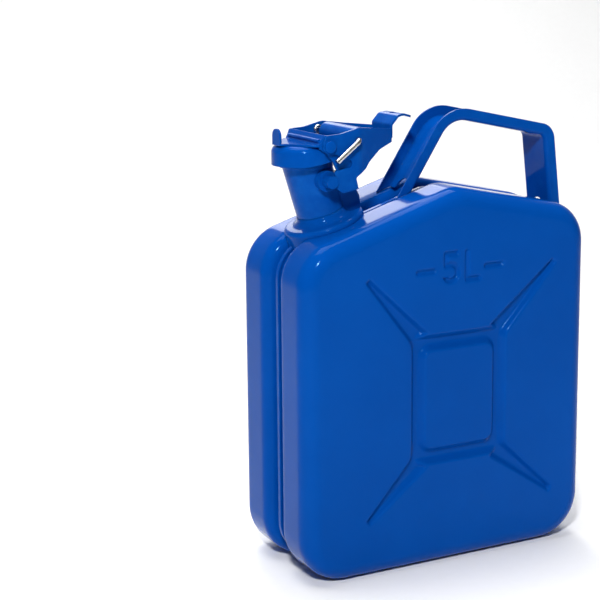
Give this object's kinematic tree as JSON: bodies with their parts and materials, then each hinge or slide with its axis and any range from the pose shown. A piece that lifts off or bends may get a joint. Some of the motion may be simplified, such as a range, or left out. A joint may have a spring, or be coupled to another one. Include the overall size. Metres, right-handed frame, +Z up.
{
  "type": "safety gas can",
  "caption": "Flat pressed-metal safety gas can with a seam groove, channel carry handle, leaning spout and a lever-locked pouring cap with a safety pin.",
  "frame": {"origin": "on the floor under the middle of the can", "axes": "+Z up; spout leans toward -X, handle rises toward +X; the left broad face is at -Y"},
  "size_m": [0.2326, 0.1, 0.3205],
  "materials": {
    "blue_paint": "glossy blue enamel, lightly worn",
    "plated_steel": "bright zinc plating",
    "black_rubber": "matt fuel-proof rubber"
  },
  "bodies": {
    "tank": {"front_shell": "blue_paint", "rear_shell": "blue_paint", "seam_weld": "blue_paint", "neck_tube": "blue_paint", "neck_collar": "blue_paint", "neck_rim": "blue_paint", "breather_tube": "plated_steel", "trunnion_left": "blue_paint", "trunnion_right": "blue_paint", "hinge_pin_left": "plated_steel", "hinge_pin_right": "plated_steel", "hinge_bracket": "blue_paint", "handle": "blue_paint"},
    "cap": {"cap_shell": "blue_paint", "gasket_plate": "plated_steel", "cap_gasket": "black_rubber", "gasket_retainer": "plated_steel", "cap_rivet": "plated_steel", "cap_strap": "blue_paint", "lever_bolt_left": "blue_paint", "lever_bolt_right": "blue_paint", "bolt_washer_left": "blue_paint", "bolt_washer_right": "blue_paint"},
    "lever": {"lever": "blue_paint", "lever_barrel": "blue_paint"},
    "safety_pin": {"safety_pin": "plated_steel"}
  },
  "joints": [
    {"name": "cap_swing", "type": "hinge", "parent": "tank", "child": "cap", "pos_m": [-0.0665, 0, 0.2765], "axis": [0, 1, 0], "range_deg": [0, 90]},
    {"name": "lever_lift", "type": "hinge", "parent": "cap", "child": "lever", "pos_m": [-0.084, 0, 0.3015], "axis": [0, -1, 0], "range_deg": [0, 125]},
    {"name": "safety_pin_turn", "type": "hinge", "parent": "lever", "child": "safety_pin", "pos_m": [-0.0625, 0, 0.305], "axis": [0, -1, 0], "range_deg": [0, 110]}
  ],
  "couplings": [
    {"joint": "cap_swing", "follows": "lever_lift", "ratio": 0.72}
  ]
}
